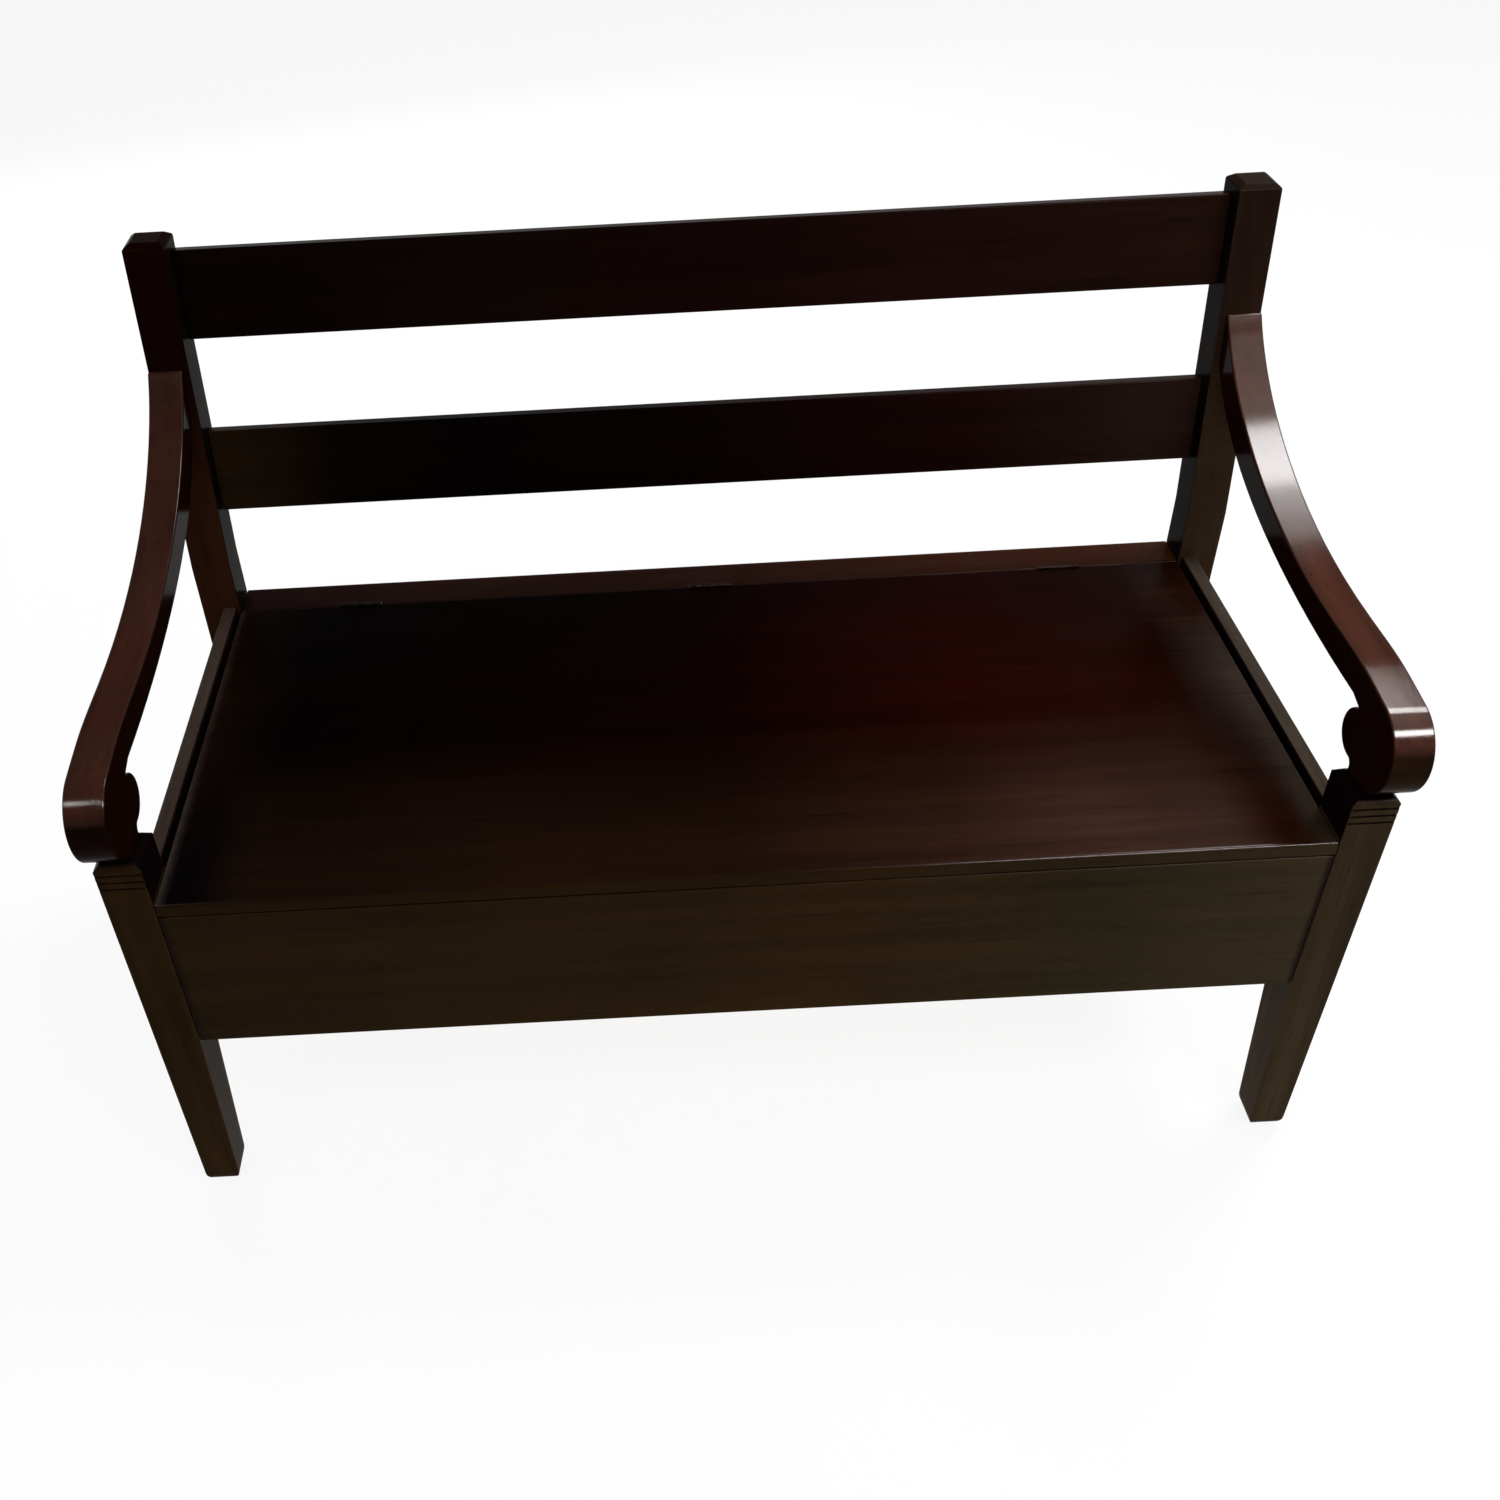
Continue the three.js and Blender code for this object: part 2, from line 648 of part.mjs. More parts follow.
function armOutline() {
  const radians = THREE.MathUtils.degToRad;
  const footZ = legCrown + jointGap;
  const postFace = (z) => postFront + (z - kneeHeight) * Math.tan(rake) - jointGap;
  const noseY = noseRadius - noseOverhang;
  const noseZ = armLevel - noseDrop - noseRadius;
  const lobeY = lobeBack - lobeRadius;
  const leave = Math.PI / 2 + radians(noseLeaveDegrees);
  const enter = Math.PI + radians(noseEndDegrees);
  const leaveY = noseY + noseRadius * Math.cos(leave);
  const leaveZ = noseZ + noseRadius * Math.sin(leave);
  const blend = (armLevelStart - leaveY) / 2;
  const lobeStart = radians(lobeStartDegrees);
  const lobeEnd = radians(lobeEndDegrees);
  const sweep = radians(armSweepDegrees);
  const under = radians(armUnderDegrees);
  const sweepPull = armEndRound + armSweepEndPull;
  const topEnd = postFace(armPostTop);
  const cornerY = topEnd - armEndRound;
  const lowEnd = postFace(armPostBottom);
  const outline = new THREE.Shape();
  outline.moveTo(neckFront, footZ);
  outline.absarc(noseY, noseZ, noseRadius, enter, leave, true);
  outline.bezierCurveTo(
    leaveY + blend * Math.sin(leave), leaveZ - blend * Math.cos(leave),
    armLevelStart - blend, armLevel,
    armLevelStart, armLevel);
  outline.bezierCurveTo(
    armLevelStart + armSweepStartPull, armLevel,
    cornerY - sweepPull * Math.cos(sweep), armPostTop - sweepPull * Math.sin(sweep),
    cornerY - armEndRound * Math.cos(sweep), armPostTop - armEndRound * Math.sin(sweep));
  outline.quadraticCurveTo(cornerY, armPostTop, topEnd, armPostTop);
  outline.lineTo(lowEnd, armPostBottom);
  outline.bezierCurveTo(
    lowEnd - armUnderEndPull * Math.cos(under), armPostBottom - armUnderEndPull * Math.sin(under),
    armUnderStart + armUnderStartPull, armUnderLevel,
    armUnderStart, armUnderLevel);
  outline.absarc(lobeY, lobeHeight, lobeRadius, lobeStart, lobeEnd, true);
  outline.quadraticCurveTo(neckWaist, (lobeHeight - lobeRadius + footZ) / 2, neckBack, footZ);
  outline.closePath();
  return outline;
}

for (const [hand, side] of hands) {
  const body = prism(armOutline(), side * armInner, side * half, outlineSteps);
  const arm = shaped(body, { cut: [dowelHole(side), fromLeaning(armScrewHole(side))] });
  place(bench, `arm_${hand}`, arm, espresso);
  const dowel = rod(dowelRadius, dowelLength).translate(side * armMiddle, dowelY, dowelBottom);
  place(bench, `arm_dowel_${hand}`, dowel, bareWood);
}

// The origin is on the floor under the middle of the bench's box, from nose to post top
const rearmost = benchDepth + (postHeight - kneeHeight) * Math.tan(rake);
bench.position.set(0, -(rearmost - noseOverhang) / 2, 0);

export default bench;
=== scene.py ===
"""A deacon's bench: dark lacquered wood, raked rail back, scroll arms, lift-up seat over a box."""
from math import cos, radians, sin

import bpy
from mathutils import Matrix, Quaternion, Vector


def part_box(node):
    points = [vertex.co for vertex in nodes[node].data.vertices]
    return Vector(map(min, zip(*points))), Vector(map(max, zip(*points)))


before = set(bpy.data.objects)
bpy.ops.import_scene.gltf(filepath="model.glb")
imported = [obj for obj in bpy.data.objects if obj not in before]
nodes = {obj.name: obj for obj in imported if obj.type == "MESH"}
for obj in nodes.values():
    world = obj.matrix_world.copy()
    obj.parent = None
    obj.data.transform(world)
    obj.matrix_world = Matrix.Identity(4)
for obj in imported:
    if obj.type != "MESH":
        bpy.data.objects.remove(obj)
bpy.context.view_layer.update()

# The camera. It stands in front of the bench, a little left of its middle and well above the
# back, and looks down at the seat. Its roll and shift frame the bench as the photograph does.
camera_at = Vector((-0.0975, -1.3232, 1.4379))
camera_yaw = radians(0.15)
camera_pitch = radians(40.09)
camera_roll = radians(-3.15)
camera_level = cos(camera_pitch)
camera_aim = Vector((-sin(camera_yaw) * camera_level, cos(camera_yaw) * camera_level, -sin(camera_pitch)))

camera_data = bpy.data.cameras.new("camera")
camera_data.sensor_width = 36
camera_data.lens = 36.31
camera_data.shift_x = 0.0765
camera_data.shift_y = 0.0191
camera = bpy.data.objects.new("camera", camera_data)
bpy.context.scene.collection.objects.link(camera)
camera.rotation_mode = "QUATERNION"
camera.rotation_quaternion = camera_aim.to_track_quat("-Z", "Y") @ Quaternion((0, 0, 1), camera_roll)
camera.location = camera_at
bpy.context.scene.camera = camera


# The front legs. Each is one square length of hardwood, tapered below the box and chamfered at
# its top, with three cut lines under the chamfer. All the show wood of the bench is stained
# espresso and sprayed with a glossy lacquer that has rubbed thin and reddish along the edges.
leg_low, leg_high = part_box("front_leg_right")
# The leg tones brighten from left to right: painted light, as from a lamp on the right.
leg_tones_with_painted_light = [(-0.6, (0.0175, 0.0092, 0.0030)), (0.6, (0.0300, 0.0202, 0.0105))]
leg_foot_paling = (1.40, 1.45, 1.45)
leg_paling_top = 0.30
# Painted shade for the faces of the leg tops above the seat that don't face forward.
leg_inner_painted_shade = (0.0030, 0.0012, 0.0014)
leg_inner_from = leg_high[0] - 0.007
leg_inner_to = leg_high[0] - 0.003
leg_inner_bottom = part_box("seat_lid")[1][2] + 0.002
leg_front_facing = [(0.5, 0.0), (0.7, 1.0)]
# Painted shade that darkens the three cut-line grooves.
cut_line_painted_shade = (0.0058, 0.0033, 0.0016)
cut_line_first = leg_high[2] - 0.012
cut_line_pitch = 0.0085
cut_line_reach = 0.0013
cut_line_depth = 0.0016
leg_index = 1.06
leg_ease = 0.0011
leg_least_turn = 50

# The lacquered wood of every show piece: its figure and pores, the patches that hands have
# dulled, the worn arrises and the fine relief of the lacquer.
grain_stretch = 26.0
grain_figure = {"scale": 1.6, "detail": 5, "roughness": 0.62, "distortion": 0.4}
pore_stretch = 60.0
pore_figure = {"scale": 9.0, "detail": 3, "roughness": 0.7}
stain_blotches = {"scale": 3.1, "detail": 3, "roughness": 0.55}
handled_patches = {"scale": 14.0, "detail": 4, "roughness": 0.6}
orange_peel = {"scale": 420.0, "detail": 2, "roughness": 0.5}
ripple_stretch = 3.0
lacquer_ripples = {"scale": 22.0, "detail": 2, "roughness": 0.5, "distortion": 1.2}

figure_share = 0.62
blotch_share = 0.38
streak_tones = [(0.34, (0.66, 0.62, 0.62)), (0.5, (0.96, 0.96, 0.96)), (0.68, (1.45, 1.32, 1.26))]
pore_stops = [(0.30, 1.0), (0.42, 0.0)]
pore_strength = 0.6
pore_tone = (0.0015, 0.0006, 0.0004)
rubbed_edge = (0.050, 0.020, 0.011)
rub_width = 0.0035
rub_strength = 0.5
rub_patch_middle = 0.62
rub_patch_contrast = 2.6
haze_less = 0.04
haze_more = 0.05
pore_relief = 0.5
figure_relief = 0.35
peel_relief = 0.18
lacquer_bump = 0.22
lacquer_bump_height = 0.0004
bench_reach = 0.62
weld_within = 0.00002
flat_within_degrees = 0.6
face_area_weight = 100


def new_material(name):
    material = bpy.data.materials.new(name)
    material.use_nodes = True
    material.node_tree.nodes.clear()
    return material


def math_node(tree, operation, first, second=0.0):
    node = tree.nodes.new("ShaderNodeMath")
    node.operation = operation
    for slot, value in enumerate((first, second)):
        if isinstance(value, (int, float)):
            node.inputs[slot].default_value = value
        else:
            tree.links.new(value, node.inputs[slot])
    return node.outputs[0]


def weighted_sum(tree, *parts):
    """The sum of the parts, each a value and its weight."""
    total = None
    for value, weight in parts:
        term = math_node(tree, "MULTIPLY", value, weight)
        total = term if total is None else math_node(tree, "ADD", total, term)
    return total


def ramp(tree, factor, stops):
    """Goes from stop to stop with the factor; each stop is a place and a colour or a number."""
    node = tree.nodes.new("ShaderNodeValToRGB")
    elements = node.color_ramp.elements
    while len(elements) < len(stops):
        elements.new(0.5)
    for element, (place, colour) in zip(elements, stops):
        element.position = place
        element.color = (*colour, 1) if isinstance(colour, tuple) else (colour, colour, colour, 1)
    tree.links.new(factor, node.inputs["Fac"])
    return node.outputs["Color"]


def mix_colour(tree, factor, first, second, blend="MIX"):
    node = tree.nodes.new("ShaderNodeMix")
    node.data_type = "RGBA"
    node.blend_type = blend
    for socket, value in zip(("Factor", "A", "B"), (factor, first, second)):
        if isinstance(value, (int, float)):
            node.inputs[socket].default_value = value
        elif isinstance(value, tuple):
            node.inputs[socket].default_value = (*value, 1)
        else:
            tree.links.new(value, node.inputs[socket])
    return node.outputs["Result"]


def point(tree):
    """The point on the piece, in metres and in the frame of the whole bench."""
    return tree.nodes.new("ShaderNodeTexCoord").outputs["Object"]


def split(tree, vector):
    """X, Y and Z of a vector."""
    parts = tree.nodes.new("ShaderNodeSeparateXYZ")
    tree.links.new(vector, parts.inputs[0])
    return parts.outputs


def facing(tree):
    """X, Y and Z of the direction that the surface faces."""
    return split(tree, tree.nodes.new("ShaderNodeNewGeometry").outputs["Normal"])


def grain_coordinates(tree, along, stretch):
    """The point, scaled up across the grain so that noise runs in streaks along it."""
    squeeze = tree.nodes.new("ShaderNodeMapping")
    squeeze.inputs["Scale"].default_value = [1 if axis == along else stretch for axis in "XYZ"]
    tree.links.new(point(tree), squeeze.inputs["Vector"])
    return squeeze.outputs["Vector"]


def noise(tree, vector, scale, detail, roughness, distortion=0.0):
    node = tree.nodes.new("ShaderNodeTexNoise")
    node.inputs["Scale"].default_value = scale
    node.inputs["Detail"].default_value = detail
    node.inputs["Roughness"].default_value = roughness
    node.inputs["Distortion"].default_value = distortion
    tree.links.new(vector, node.inputs["Vector"])
    return node.outputs["Fac"]


def raised(tree, relief, strength, height):
    """The direction that the surface faces where the relief stands up by this height."""
    bump = tree.nodes.new("ShaderNodeBump")
    bump.inputs["Strength"].default_value = strength
    bump.inputs["Distance"].default_value = height
    tree.links.new(relief, bump.inputs["Height"])
    return bump.outputs["Normal"]


def skin(tree, normal=None):
    """The shader of the material's surface, with its relief where it has one."""
    shader = tree.nodes.new("ShaderNodeBsdfPrincipled")
    output = tree.nodes.new("ShaderNodeOutputMaterial")
    tree.links.new(shader.outputs[0], output.inputs["Surface"])
    if normal is not None:
        tree.links.new(normal, shader.inputs["Normal"])
    return shader


def edge_distance(tree, low, high):
    """How far a point on a board's skin lies from the board's nearest arris, in metres.

    It is the middle one of the point's three distances to the sides of the board's box."""
    reach = []
    for axis, place in enumerate(split(tree, point(tree))):
        from_low = math_node(tree, "SUBTRACT", place, low[axis])
        from_high = math_node(tree, "SUBTRACT", high[axis], place)
        reach.append(math_node(tree, "MAXIMUM", math_node(tree, "MINIMUM", from_low, from_high), 0.0))
    total = math_node(tree, "ADD", math_node(tree, "ADD", reach[0], reach[1]), reach[2])
    least = math_node(tree, "MINIMUM", math_node(tree, "MINIMUM", reach[0], reach[1]), reach[2])
    most = math_node(tree, "MAXIMUM", math_node(tree, "MAXIMUM", reach[0], reach[1]), reach[2])
    return math_node(tree, "SUBTRACT", math_node(tree, "SUBTRACT", total, least), most)


def across_bench(tree, tones):
    """A colour that goes from tone to tone with X; each tone comes with the X that it lies at."""
    share = math_node(tree, "DIVIDE", split(tree, point(tree))[0], 2 * bench_reach)
    share = math_node(tree, "ADD", share, 0.5)
    return ramp(tree, share, [(0.5 + x / (2 * bench_reach), colour) for x, colour in tones])


def rubbed_at_edges(tree, stain, patches, low, high, rub):
    """The stain with the arrises of the board's box rubbed through, more on the handled patches."""
    near = math_node(tree, "DIVIDE", edge_distance(tree, low, high), rub_width)
    near = math_node(tree, "SUBTRACT", 1.0, near)
    patchy = math_node(tree, "SUBTRACT", patches, rub_patch_middle)
    worn = math_node(tree, "ADD", near, math_node(tree, "MULTIPLY", patchy, rub_patch_contrast))
    worn = math_node(tree, "MINIMUM", math_node(tree, "MAXIMUM", worn, 0.0), 1.0)
    return mix_colour(tree, math_node(tree, "MULTIPLY", worn, rub_strength * rub), stain, rubbed_edge)


def lacquered(name, along, tones, low=None, high=None, haze=0.26, rub=1.0, index=1.12, level=0.2,
              ripple=0.0, polish=None, polish_index=1.18):
    """Espresso stain under a glossy lacquer, with its grain along one axis.

    The tones lie across the bench and carry painted light, or are a function that makes the stain
    with its painted light and shade. Low and high are the corners of a board whose arrises are
    rubbed. Haze blurs what the lacquer mirrors, and index and level set how strongly it mirrors.
    Polish says where a second, brighter coat lies."""
    material = new_material(name)
    tree = material.node_tree
    place = point(tree)
    figure = noise(tree, grain_coordinates(tree, along, grain_stretch), **grain_figure)
    pores = noise(tree, grain_coordinates(tree, along, pore_stretch), **pore_figure)
    blotch = noise(tree, place, **stain_blotches)
    patches = noise(tree, place, **handled_patches)

    peel = noise(tree, place, **orange_peel)
    relief = weighted_sum(tree, (pores, pore_relief), (figure, figure_relief), (peel, peel_relief))
    if ripple > 0:
        waves = noise(tree, grain_coordinates(tree, along, ripple_stretch), **lacquer_ripples)
        relief = math_node(tree, "ADD", relief, math_node(tree, "MULTIPLY", waves, ripple))
    normal = raised(tree, relief, lacquer_bump, lacquer_bump_height)
    shader = skin(tree, normal)

    stain = tones(tree) if callable(tones) else across_bench(tree, tones)
    depth = weighted_sum(tree, (figure, figure_share), (blotch, blotch_share))
    stain = mix_colour(tree, 1.0, stain, ramp(tree, depth, streak_tones), "MULTIPLY")
    pore_mask = math_node(tree, "MULTIPLY", ramp(tree, pores, pore_stops), pore_strength)
    stain = mix_colour(tree, pore_mask, stain, pore_tone)
    if low is not None:
        stain = rubbed_at_edges(tree, stain, patches, low, high, rub)
    tree.links.new(stain, shader.inputs["Base Color"])

    patchy = ramp(tree, patches, [(0.3, haze - haze_less), (0.5, haze), (0.8, haze + haze_more)])
    tree.links.new(patchy, shader.inputs["Roughness"])
    shader.inputs["IOR"].default_value = index
    shader.inputs["Specular IOR Level"].default_value = level
    if polish is not None:
        tree.links.new(polish(tree), shader.inputs["Coat Weight"])
        tree.links.new(normal, shader.inputs["Coat Normal"])
        shader.inputs["Coat Roughness"].default_value = haze
        shader.inputs["Coat IOR"].default_value = polish_index
    return material


def dress(name, material, ease=0.0, segments=3, least_turn=35):
    """Gives a CAD piece its finish, and sands its arrises round by this many metres.

    Edges that turn by fewer degrees than the least turn aren't sanded."""
    piece = nodes[name]
    piece.data.materials.clear()
    piece.data.materials.append(material)
    for face in piece.data.polygons:
        face.use_smooth = True
    if ease > 0:
        weld = piece.modifiers.new("weld", "WELD")
        weld.merge_threshold = weld_within
        flat = piece.modifiers.new("flat", "DECIMATE")
        flat.decimate_type = "DISSOLVE"
        flat.angle_limit = radians(flat_within_degrees)
        bevel = piece.modifiers.new("ease", "BEVEL")
        bevel.width = ease
        bevel.segments = segments
        bevel.limit_method = "ANGLE"
        bevel.angle_limit = radians(least_turn)
        bevel.use_clamp_overlap = False
        bevel.miter_outer = "MITER_ARC"
        normals = piece.modifiers.new("normals", "WEIGHTED_NORMAL")
        normals.weight = face_area_weight
        normals.keep_sharp = False


def leg_stain_and_painted_shade(tree):
    """Paler toward the foot, with painted shade in the cut lines and on the faces above the seat that
    don't face forward.
    """
    x, y, z = split(tree, point(tree))
    stain = across_bench(tree, leg_tones_with_painted_light)
    paling = ramp(tree, z, [(0.0, leg_foot_paling), (leg_paling_top, (1.0, 1.0, 1.0))])
    stain = mix_colour(tree, 1.0, stain, paling, "MULTIPLY")

    # Painted shade on the leg top above the seat, except on its forward faces.
    forward = ramp(tree, math_node(tree, "MULTIPLY", facing(tree)[1], -1.0), leg_front_facing)
    inner = ramp(tree, math_node(tree, "ABSOLUTE", x), [(leg_inner_from, 1.0), (leg_inner_to, 0.0)])
    shaded_above_seat = math_node(tree, "SUBTRACT", 1.0, forward)
    shaded_above_seat = math_node(tree, "MULTIPLY", shaded_above_seat, math_node(tree, "GREATER_THAN", z, leg_inner_bottom))
    stain = mix_colour(tree, math_node(tree, "MULTIPLY", shaded_above_seat, inner), stain, leg_inner_painted_shade)

    # Painted shade in the three cut lines on the front face.
    front = math_node(tree, "LESS_THAN", y, leg_low[1] + cut_line_depth)
    for number in range(3):
        height = cut_line_first - number * cut_line_pitch
        away = math_node(tree, "ABSOLUTE", math_node(tree, "SUBTRACT", z, height))
        in_line = math_node(tree, "LESS_THAN", away, cut_line_reach)
        stain = mix_colour(tree, math_node(tree, "MULTIPLY", in_line, front), stain, cut_line_painted_shade)
    return stain


for hand in ("left", "right"):
    name = f"front_leg_{hand}"
    lacquer = lacquered(f"{name}_lacquer", "Z", leg_stain_and_painted_shade, *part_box(name), index=leg_index)
    dress(name, lacquer, ease=leg_ease, least_turn=leg_least_turn)


# The back posts. Each is rear leg and back stile in one, sawn from a wide plank so that it
# stands upright to the seat and leans back above it.
# The post tones brighten from left to right: painted light.
post_low_tones_with_painted_light = [(-0.6, (0.0230, 0.0079, 0.0033)), (0.6, (0.0345, 0.0203, 0.0110))]
post_high_tones_with_painted_light = [(-0.6, (0.0056, 0.0008, 0.0005)), (0.6, (0.0165, 0.0080, 0.0052))]
post_rise = [(0.60, 0.0), (0.74, 1.0)]
# Painted shade for the faces of the posts that look sideways.
post_side_painted_shade = (0.0046, 0.0026, 0.0018)
post_side_facing = [(0.55, 0.0), (0.8, 1.0)]
post_index = 1.08
post_level = 0.1
post_ease = 0.0013


def post_stain_and_painted_light(tree):
    """Darker above the arms than below them, with painted shade on both sides, the sides that the rails
    run into.
    """
    above_arms = ramp(tree, split(tree, point(tree))[2], post_rise)
    low, high = across_bench(tree, post_low_tones_with_painted_light), across_bench(tree, post_high_tones_with_painted_light)
    stain = mix_colour(tree, above_arms, low, high)
    # Painted shade on the faces that look sideways.
    sideways = ramp(tree, math_node(tree, "ABSOLUTE", facing(tree)[0]), post_side_facing)
    return mix_colour(tree, sideways, stain, post_side_painted_shade)


for hand in ("left", "right"):
    name = f"back_post_{hand}"
    lacquer = lacquered(f"{name}_lacquer", "Z", post_stain_and_painted_light, index=post_index, level=post_level)
    dress(name, lacquer, ease=post_ease)


# The two back rails. Each is a flat board with its long edges eased, tenoned between the posts
# and set back from their front faces.
# Both rails run from dark on the left and middle to lighter at the right end, and the mid rail lightens
# at its left end too: painted light.
mid_rail_tones_with_painted_light = [
    (-0.56, (0.0160, 0.0085, 0.0032)), (-0.42, (0.0022, 0.0008, 0.0004)),
    (-0.25, (0.0012, 0.0003, 0.0002)), (0.0, (0.0030, 0.0006, 0.0004)),
    (0.3, (0.0090, 0.0022, 0.0016)), (0.5, (0.0195, 0.0092, 0.0065))]
crest_rail_tones_with_painted_light = [
    (-0.5, (0.0032, 0.0007, 0.0005)), (-0.25, (0.0044, 0.0020, 0.0009)),
    (0.0, (0.0068, 0.0018, 0.0013)), (0.25, (0.0115, 0.0036, 0.0028)),
    (0.56, (0.0145, 0.0058, 0.0035))]
rail_haze = 0.22
rail_level = 0.08
rail_ease = 0.0016

for name, tones in (("mid_rail", mid_rail_tones_with_painted_light), ("crest_rail", crest_rail_tones_with_painted_light)):
    lacquer = lacquered(f"{name}_lacquer", "X", tones, haze=rail_haze, level=rail_level)
    dress(name, lacquer, ease=rail_ease)


# The storage box. Front and rear aprons and two side boards are plain planks tenoned into the
# legs, with their show faces stained and lacquered like the rest. Painted shade darkens the
# corner where an apron meets a leg.
apron_end = leg_low[0]
apron_corner = apron_end - 0.0030
apron_shade_fade = apron_end - 0.0044
# Painted shade in the corner where an apron meets a leg.
apron_corner_painted_shade = (0.0030, 0.0012, 0.0008)
# The apron tones brighten from left to right: painted light.
apron_tones_with_painted_light = [
    (-apron_corner, apron_corner_painted_shade), (-apron_shade_fade, (0.0130, 0.0060, 0.0009)),
    (0.1, (0.0240, 0.0118, 0.0026)), (0.32, (0.0218, 0.0144, 0.0050)),
    (apron_shade_fade, (0.0300, 0.0208, 0.0098)), (apron_corner, apron_corner_painted_shade)]
side_tones = [(-0.6, (0.0240, 0.0095, 0.0056)), (0.6, (0.0210, 0.0136, 0.0078))]
# Painted light for the top edges of the side boards.
side_top_painted_light = [(-0.6, (0.0400, 0.0270, 0.0210)), (0.6, (0.0430, 0.0320, 0.0230))]
side_top_facing = [(0.6, 0.0), (0.85, 1.0)]
# Painted shade for the face inside the box that stands above the lid.
side_inner_painted_shade = (0.0032, 0.0014, 0.0012)
side_inner_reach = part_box("side_board_right")[0][0] + 0.0013
box_haze = 0.28
box_rub = 0.3
box_ease = 0.0012


def side_stain_and_painted_light(tree):
    """Painted light makes the top edge paler, and painted shade darkens the face inside the box."""
    upward = ramp(tree, facing(tree)[2], side_top_facing)
    side, top = across_bench(tree, side_tones), across_bench(tree, side_top_painted_light)
    stain = mix_colour(tree, upward, side, top)
    from_middle = math_node(tree, "ABSOLUTE", split(tree, point(tree))[0])
    inside = math_node(tree, "LESS_THAN", from_middle, side_inner_reach)
    return mix_colour(tree, inside, stain, side_inner_painted_shade)


for name, along, tones in (
        ("front_apron", "X", apron_tones_with_painted_light), ("rear_apron", "X", apron_tones_with_painted_light),
        ("side_board_left", "Y", side_stain_and_painted_light), ("side_board_right", "Y", side_stain_and_painted_light)):
    lacquer = lacquered(f"{name}_lacquer", along, tones, *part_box(name), haze=box_haze, rub=box_rub)
    dress(name, lacquer, ease=box_ease)


# The bottom of the box. A thin plywood panel lies loose on softwood cleats that are glued and
# pinned round the inside. All are left unfinished.
pine_tones = [(0.34, (0.34, 0.2, 0.095)), (0.5, (0.52, 0.36, 0.2)), (0.68, (0.44, 0.28, 0.14))]
pine_stretch = 14.0
pine_figure = {"scale": 2.4, "detail": 5, "roughness": 0.6, "distortion": 0.6}
pine_roughness = [(0.3, 0.62), (0.7, 0.78)]
fleck_stretch = 70.0
fleck_figure = {"scale": 6.0, "detail": 3, "roughness": 0.6}
fleck_stops = [(0.33, 1.0), (0.45, 0.0)]
fleck_strength = 0.35
fleck_tone = (0.2, 0.11, 0.05)
pine_bump = 0.4
pine_bump_height = 0.0004
cleat_ease = 0.0008


def bare_wood(name, along):
    material = new_material(name)
    tree = material.node_tree
    figure = noise(tree, grain_coordinates(tree, along, pine_stretch), **pine_figure)
    flecks = noise(tree, grain_coordinates(tree, along, fleck_stretch), **fleck_figure)
    shader = skin(tree, raised(tree, flecks, pine_bump, pine_bump_height))
    fleck_mask = math_node(tree, "MULTIPLY", ramp(tree, flecks, fleck_stops), fleck_strength)
    colour = mix_colour(tree, fleck_mask, ramp(tree, figure, pine_tones), fleck_tone)
    tree.links.new(colour, shader.inputs["Base Color"])
    tree.links.new(ramp(tree, figure, pine_roughness), shader.inputs["Roughness"])
    return material


pine_along = {axis: bare_wood(f"bare_wood_{axis.lower()}", axis) for axis in "XYZ"}
dress("bottom_panel", pine_along["X"])
for name in ("front_cleat", "rear_cleat", "strip_cleat"):
    dress(name, pine_along["X"], ease=cleat_ease)
for hand in ("left", "right"):
    dress(f"side_cleat_{hand}", pine_along["Y"], ease=cleat_ease)


# The hinges. Three small butt hinges in antique bronze are let into the back edge of the lid
# and the front edge of the strip behind it, each with a steel pin and slotted screws.
patina_patches = {"scale": 180.0, "detail": 4, "roughness": 0.6}
brush_stretch = 30.0
brush_marks = {"scale": 60.0, "detail": 2, "roughness": 0.6}
brush_smoother = 0.08
brush_rougher = 0.12
brush_bump = 0.25
brush_bump_height = 0.0001
bronze_dark = (0.0025, 0.0016, 0.0012)
bronze_light = (0.009, 0.0055, 0.0038)
bronze_roughness = 0.55
steel_dark = (0.42, 0.42, 0.4)
steel_light = (0.6, 0.6, 0.58)
steel_roughness = 0.34


def brushed_metal(name, dark, light, roughness):
    material = new_material(name)
    tree = material.node_tree
    patina = noise(tree, point(tree), **patina_patches)
    brush = noise(tree, grain_coordinates(tree, "X", brush_stretch), **brush_marks)
    shader = skin(tree, raised(tree, brush, brush_bump, brush_bump_height))
    shader.inputs["Metallic"].default_value = 1.0
    tree.links.new(ramp(tree, patina, [(0.38, dark), (0.62, light)]), shader.inputs["Base Color"])
    haze = ramp(tree, brush, [(0.3, roughness - brush_smoother), (0.7, roughness + brush_rougher)])
    tree.links.new(haze, shader.inputs["Roughness"])
    return material


bronze = brushed_metal("dark_bronze", bronze_dark, bronze_light, bronze_roughness)
steel = brushed_metal("zinc_steel", steel_dark, steel_light, steel_roughness)
for place in ("left", "middle", "right"):
    for side in ("strip", "lid"):
        dress(f"hinge_{place}_{side}_leaf", bronze)
        for number in (1, 2):
            dress(f"hinge_{place}_{side}_screw_{number}", bronze)
    dress(f"hinge_{place}_pin", steel)


# The fixed strip behind the lid. It is a narrow board between the posts, and four steel screws
# hold it from below through its cleat.
# The strip tones run from dark on the left to lighter red on the right: painted light.
strip_tones_with_painted_light = [
    (-0.56, (0.0066, 0.0014, 0.0010)), (0.0, (0.0140, 0.0042, 0.0020)), (0.56, (0.0350, 0.0082, 0.0020))]
strip_index = 1.2
strip_ease = 0.0006

dress("seat_strip", lacquered("seat_strip_lacquer", "X", strip_tones_with_painted_light, index=strip_index), ease=strip_ease)
for number in (1, 2, 3, 4):
    dress(f"strip_screw_{number}", steel)
